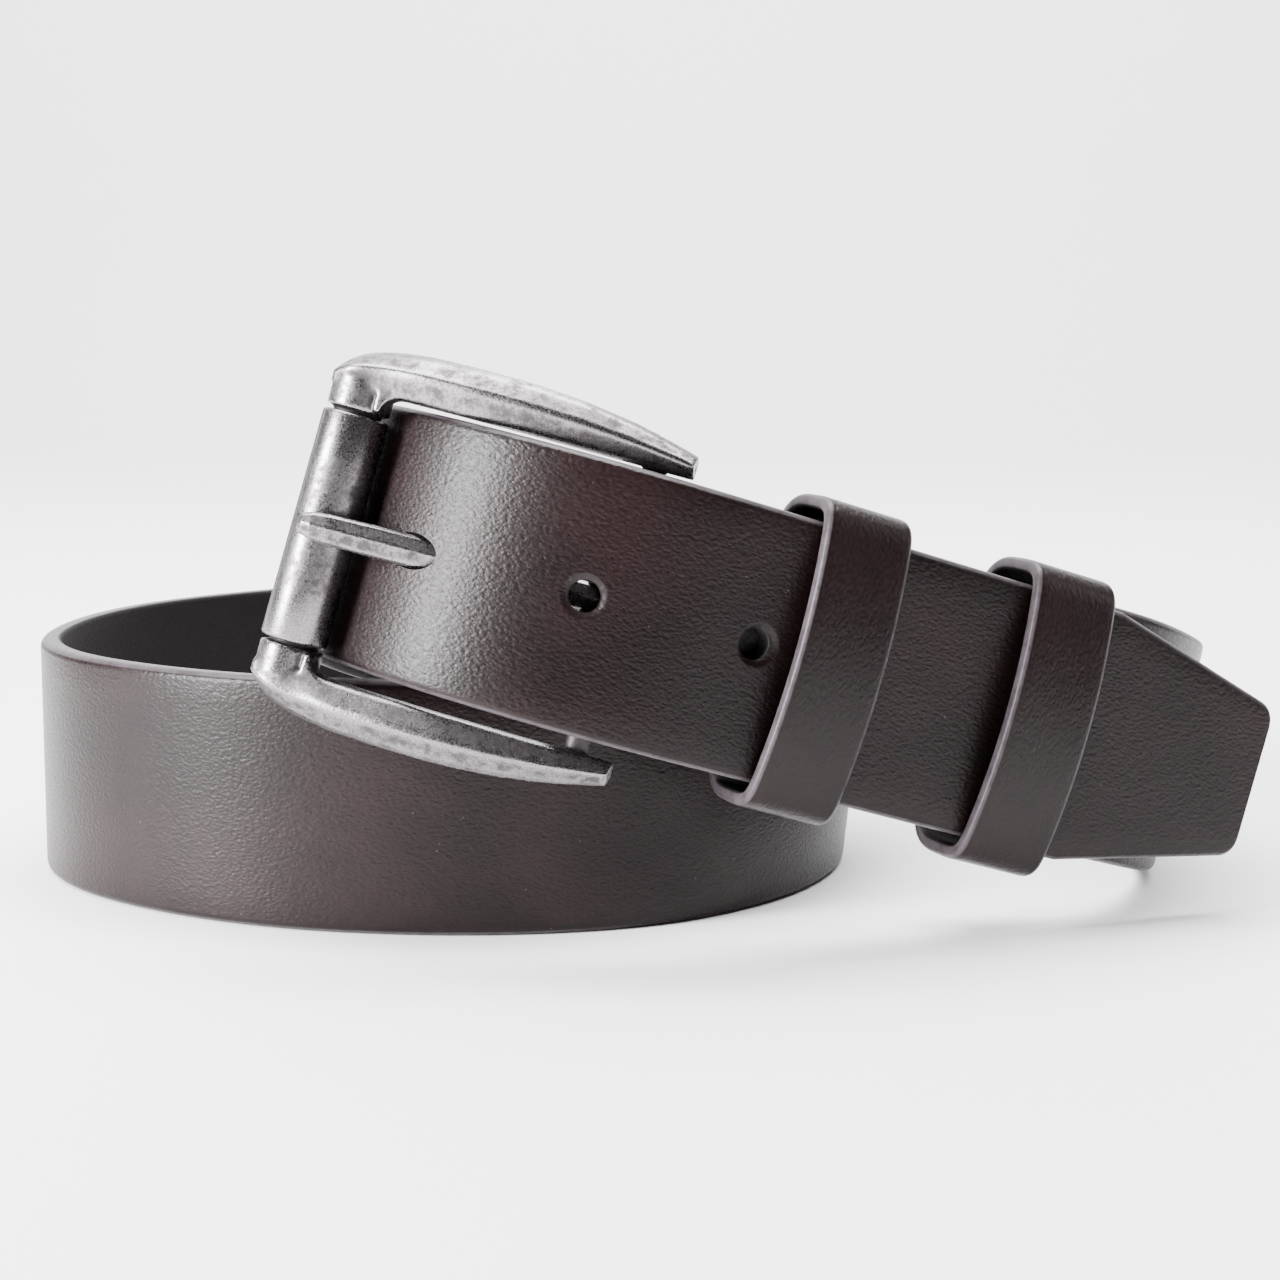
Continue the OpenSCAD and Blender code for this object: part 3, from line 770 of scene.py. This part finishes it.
class Tree:
    """A small helper that adds nodes to a material and links them. Patterns' scales are per metre."""

    def __init__(self, name):
        self.material = bpy.data.materials.new(name)
        self.material.use_nodes = True
        self.tree = self.material.node_tree
        self.shader = self.tree.nodes["Principled BSDF"]

    def add(self, kind):
        return self.tree.nodes.new("ShaderNode" + kind)

    def put(self, socket, value):
        """Links a node's output to a socket, or sets the socket to a plain value."""
        if isinstance(value, bpy.types.NodeSocket):
            self.tree.links.new(value, socket)
        else:
            socket.default_value = value

    def surface(self, **inputs):
        """Sets the surface shader's inputs, which are named with _ for a space."""
        for key, value in inputs.items():
            self.put(self.shader.inputs[key.replace("_", " ")], value)
        return self.material

    def math(self, operation, a, b=0.0, clamp=False):
        node = self.add("Math")
        node.operation = operation
        node.use_clamp = clamp
        self.put(node.inputs[0], a)
        self.put(node.inputs[1], b)
        return node.outputs[0]

    def times(self, a, b):
        return self.math("MULTIPLY", a, b)

    def plus(self, a, b):
        return self.math("ADD", a, b)

    def rest(self, a):
        """What is left of 1."""
        return self.math("SUBTRACT", 1.0, a)

    def ramp(self, value, low, high, out_low=0.0, out_high=1.0):
        """A smooth step of a value between low and high."""
        node = self.add("MapRange")
        node.interpolation_type = "SMOOTHSTEP"
        self.put(node.inputs["Value"], value)
        self.put(node.inputs["From Min"], low)
        self.put(node.inputs["From Max"], high)
        self.put(node.inputs["To Min"], out_low)
        self.put(node.inputs["To Max"], out_high)
        return node.outputs["Result"]

    def mix(self, share, a, b):
        """Colour a where the share is 0, b where it is 1."""
        node = self.add("Mix")
        node.data_type = "RGBA"
        self.put(node.inputs[0], share)
        self.put(node.inputs[6], a)
        self.put(node.inputs[7], b)
        return node.outputs[2]

    def noise(self, vector, scale, detail=3.0, roughness=0.55):
        node = self.add("TexNoise")
        node.inputs["Scale"].default_value = scale
        node.inputs["Detail"].default_value = detail
        node.inputs["Roughness"].default_value = roughness
        self.put(node.inputs["Vector"], vector)
        return node.outputs["Fac"]

    def cells(self, vector, scale, feature="F1"):
        node = self.add("TexVoronoi")
        node.feature = feature
        node.inputs["Scale"].default_value = scale
        self.put(node.inputs["Vector"], vector)
        return node.outputs["Distance"]

    def bump(self, height, distance, strength, below=None):
        """A surface normal for a height, on top of the relief below it."""
        node = self.add("Bump")
        node.inputs["Strength"].default_value = strength
        node.inputs["Distance"].default_value = distance
        self.put(node.inputs["Height"], height)
        if below is not None:
            self.put(node.inputs["Normal"], below)
        return node.outputs["Normal"]

    def uv(self, name):
        node = self.add("UVMap")
        node.uv_map = name
        return node.outputs["UV"]

    def object_place(self):
        return self.add("TexCoord").outputs["Object"]

    def parts(self, vector):
        """X, Y and Z of a vector."""
        node = self.add("SeparateXYZ")
        self.put(node.inputs[0], vector)
        return node.outputs

    def stretched(self, vector, scale, angle):
        """A flat place, turned and scaled, for patterns with a direction."""
        node = self.add("Mapping")
        node.inputs["Scale"].default_value = scale
        node.inputs["Rotation"].default_value = (0, 0, math.radians(angle))
        self.put(node.inputs["Vector"], vector)
        return node.outputs["Vector"]


# Leather
SKIN_DARK = (0.0056, 0.0025, 0.0028, 1)
SKIN_LIGHT = (0.0122, 0.0053, 0.0060, 1)
# Painted shade, laid into the grain's creases
CREASE_SHADE = (0.003, 0.0022, 0.0022, 1)
SPECK = (0.12, 0.10, 0.10, 1)
EDGE_PAINT = (0.056, 0.047, 0.053, 1)
EDGE_WORN = (0.032, 0.026, 0.030, 1)
PRESSED_RIM = (0.010, 0.008, 0.008, 1)
FLESH = (0.0060, 0.0048, 0.0050, 1)
FLESH_LIGHT = (0.012, 0.0095, 0.0098, 1)
PUNCHED = (0.006, 0.005, 0.005, 1)
PUNCHED_LIGHT = (0.016, 0.012, 0.011, 1)
SKIN_GLOSS = 0.19

# Metal, and the painted shade on the snaps' posts
SILVER_DULL = (0.150, 0.138, 0.144, 1)
SILVER_BRIGHT = (0.270, 0.252, 0.258, 1)
PATINA = (0.040, 0.035, 0.037, 1)
NICKEL_DULL = (0.62, 0.59, 0.54, 1)
NICKEL_BRIGHT = (0.74, 0.72, 0.68, 1)
# Painted shade on the heads of the snaps' posts, dark brown
POST_SHADE_DARK = (0.006, 0.005, 0.005, 1)
POST_SHADE_LIGHT = (0.014, 0.010, 0.010, 1)

# Studio
FLOOR_DULL = (0.93, 0.93, 0.93, 1)
FLOOR_BRIGHT = (0.95, 0.95, 0.95, 1)


def pressed_rims(t, along, around, holes):
    """1 at the rims of the holes, 0 away from them."""
    rim = 0.0
    for place in holes:
        gap_x = t.math("SUBTRACT", along, place)
        gap = t.math("SQRT", t.plus(t.times(gap_x, gap_x), t.times(around, around)))
        near = t.ramp(gap, HOLE_D / 2 + 1.0 * MM, HOLE_D / 2 - 0.2 * MM)
        rim = t.math("MAXIMUM", rim, near)
    return rim


def leather(name, holes):
    """Dark brown pebbled leather with painted edges, a matt flesh side and pressed rims round its holes."""
    t = Tree(name)
    strip = t.uv("strip")
    height, edge_gap, _ = t.parts(t.uv("wrap"))
    along, around, _ = t.parts(strip)
    grain_way = t.stretched(strip, (1, 1.55, 1), 28)

    pebble = t.cells(grain_way, 1650, "SMOOTH_F1")
    creases = t.noise(grain_way, 1300)
    pores = t.noise(strip, 3200, 2, 0.5)
    broad = t.noise(strip, 40, 3, 0.6)
    specks = t.ramp(t.cells(t.stretched(strip, (1, 2.2, 1), 35), 210), 0.045, 0.025)

    edge = t.ramp(edge_gap, 0.75 * MM, 0.35 * MM)
    flesh = t.ramp(height, -0.55, -0.9)
    paint = t.math("MULTIPLY", edge, t.rest(flesh), clamp=True)

    skin = t.mix(t.ramp(broad, 0.35, 0.7), SKIN_DARK, SKIN_LIGHT)
    # Darker towards the grain's creases: painted shade.
    skin = t.mix(t.times(t.ramp(creases, 0.35, 0.6, 1, 0), 0.35), skin, CREASE_SHADE)
    skin = t.mix(t.times(specks, 0.5), skin, SPECK)
    worn = t.mix(t.ramp(t.noise(strip, 500), 0.4, 0.7), EDGE_PAINT, EDGE_WORN)
    fibres = t.noise(t.stretched(strip, (1, 2.4, 1), 10), 1500, 4, 0.7)
    colour = t.mix(flesh, t.mix(paint, skin, worn), t.mix(fibres, FLESH, FLESH_LIGHT))

    rough = t.ramp(creases, 0.3, 0.7, 0.31, 0.42)
    rough = t.math("ADD", rough, t.times(flesh, 0.4), clamp=True)

    relief = t.plus(t.times(pebble, 0.7), t.times(creases, 0.7))
    relief = t.plus(relief, t.times(pores, 0.15))
    relief = t.times(relief, t.rest(t.times(paint, 0.8)))
    normal = t.bump(relief, 0.10 * MM, 0.85)
    if holes:
        rim = pressed_rims(t, along, around, holes)
        colour = t.mix(t.times(rim, 0.55), colour, PRESSED_RIM)
        normal = t.bump(t.rest(rim), 0.5 * MM, 0.8, normal)
    return t.surface(Base_Color=colour, Roughness=rough, Normal=normal, Specular_IOR_Level=SKIN_GLOSS)


def hole_wall():
    """Raw punched fibres, dark and matt."""
    t = Tree("hole_wall")
    fibres = t.noise(t.object_place(), 2500, 4, 0.7)
    colour = t.mix(fibres, PUNCHED, PUNCHED_LIGHT)
    return t.surface(Base_Color=colour, Roughness=0.85, Normal=t.bump(fibres, 0.1 * MM, 0.6))


def antique_silver():
    """Silver plating, polished on its edges, with dark patina in the hollows and cloudy stains between."""
    t = Tree("antique_silver")
    place = t.object_place()
    wear = t.add("Attribute")
    wear.attribute_name = "wear"
    clouds = t.noise(place, 330, 6, 0.7)
    stains = t.noise(place, 900, 4, 0.7)
    grain = t.noise(place, 4200, 3, 0.6)
    pits = t.ramp(t.cells(place, 1500), 0.16, 0.05)

    level = t.plus(t.times(clouds, 0.55), t.times(stains, 0.35))
    level = t.plus(level, t.times(t.math("SUBTRACT", wear.outputs["Fac"], 0.5), 0.9))
    dark = t.ramp(level, 0.56, 0.38)
    dark = t.math("MAXIMUM", dark, t.times(pits, t.ramp(stains, 0.45, 0.6)))
    bright = t.mix(t.ramp(grain, 0.35, 0.65), SILVER_DULL, SILVER_BRIGHT)
    colour = t.mix(t.times(dark, 0.8), bright, PATINA)
    rough = t.plus(t.ramp(grain, 0.3, 0.7, 0.24, 0.34), t.times(dark, 0.25))

    relief = t.math("SUBTRACT", t.times(stains, 0.5), t.times(pits, 0.5))
    relief = t.plus(relief, t.times(grain, 0.25))
    return t.surface(Base_Color=colour, Metallic=1.0, Roughness=rough, Normal=t.bump(relief, 0.06 * MM, 0.6))


def nickel():
    """Nickel plate of the staples and snaps."""
    t = Tree("nickel_plate")
    place = t.object_place()
    haze = t.noise(place, 700, 5, 0.6)
    colour = t.mix(haze, NICKEL_DULL, NICKEL_BRIGHT)
    rough = t.ramp(haze, 0.3, 0.7, 0.22, 0.4)
    normal = t.bump(t.noise(place, 3000, 2), 0.02 * MM, 0.5)
    return t.surface(Base_Color=colour, Metallic=1.0, Roughness=rough, Normal=normal)


def post_shade_paint():
    """Painted shade on the heads of the snaps' posts, which lie under the strap's holes: a dark brown matt
    coat in place of the shade down in the hole.
    """
    t = Tree("post_shade_paint")
    haze = t.noise(t.object_place(), 900, 4, 0.6)
    colour = t.mix(haze, POST_SHADE_DARK, POST_SHADE_LIGHT)
    rough = t.ramp(haze, 0.3, 0.7, 0.45, 0.6)
    return t.surface(Base_Color=colour, Roughness=rough, Normal=t.bump(haze, 0.02 * MM, 0.5))


def floor_paint():
    t = Tree("floor")
    return t.surface(Base_Color=t.mix(t.noise(t.object_place(), 6), FLOOR_DULL, FLOOR_BRIGHT), Roughness=0.6)


# ---------------------------------------------------------------- studio

def lamp(name, place, target, size, power):
    """A rectangular softbox that faces its target."""
    data = bpy.data.lights.new(name, "AREA")
    data.shape = "RECTANGLE"
    data.size, data.size_y = size
    data.energy = power
    obj = linked(name, data)
    obj.location = place
    obj.rotation_euler = (Vector(target) - Vector(place)).to_track_quat("-Z", "Y").to_euler()


def floor_and_wall():
    """A white floor that curves up into a wall."""
    front, floor_end, foot, top, half_w = -6, 1.1, 0.5, 2.2, 5
    steps = 12
    line = [(front, 0), (floor_end, 0)]
    for k in range(1, steps + 1):
        c, s = turned(90 * k / steps - 90)
        line.append((floor_end + foot * c, foot + foot * s))
    line.append((floor_end + foot, top))
    verts = [(x, y, z) for y, z in line for x in (-half_w, half_w)]
    faces = [(2 * k, 2 * k + 1, 2 * k + 3, 2 * k + 2) for k in range(len(line) - 1)]
    sweep = new_object("sweep", verts, faces)
    sweep.data.materials.append(floor_paint())


def lights():
    """A weak white world, a softbox above, a strip at the left, a fill at the right and one for the wall."""
    world = bpy.data.worlds.new("studio")
    world.use_nodes = True
    background = world.node_tree.nodes["Background"]
    background.inputs["Color"].default_value = (1, 1, 1, 1)
    background.inputs["Strength"].default_value = 0.1
    bpy.context.scene.world = world
    aim = (0, 0, 0.04)
    lamp("top", (-0.1, 0.15, 0.9), aim, (0.9, 0.6), 24)
    lamp("left", (-0.8, -0.42, 0.32), aim, (0.22, 0.5), 46)
    lamp("right", (0.9, -0.1, 0.4), aim, (0.2, 0.5), 2)
    lamp("wall", (0, 0.3, 1.6), (0, 1.6, 0.5), (2.5, 0.5), 95)


def photo_camera():
    """Camera at the angle of the photograph."""
    distance, height, look_down = 0.414, 0.0934, 7.65
    data = bpy.data.cameras.new("photo")
    data.sensor_width = 36
    data.lens = 71.7
    camera = linked("photo", data)
    camera.location = Vector((0, -distance, height)) + Vector(SHIFT)
    camera.rotation_euler = (math.radians(90 - look_down), 0, 0)
    bpy.context.scene.camera = camera


SILVER = antique_silver()
NICKEL = nickel()
POST_SHADE = post_shade_paint()
# CAD nodes that are shown as they are
PLAIN_NODES = [
    "keeper_fixed_staples", "keeper_free_staples", "snap_caps", "snap_sockets", "snap_springs", "snap_studs",
    "snap_posts",
]

make_strap()
make_keeper("keeper_fixed_leather", "keeper_fixed", "belt", KEEPER_1_X)
make_keeper("keeper_free_leather", "keeper_free", "keeper_free", KEEPER_2_X)
make_frame()
make_roller()
make_prong()
for part in PLAIN_NODES:
    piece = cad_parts[part]
    piece.data.materials.clear()
    # The posts' heads are dark brown: painted shade for the hole above them
    piece.data.materials.append(POST_SHADE if part == "snap_posts" else NICKEL)

floor_and_wall()
lights()
photo_camera()
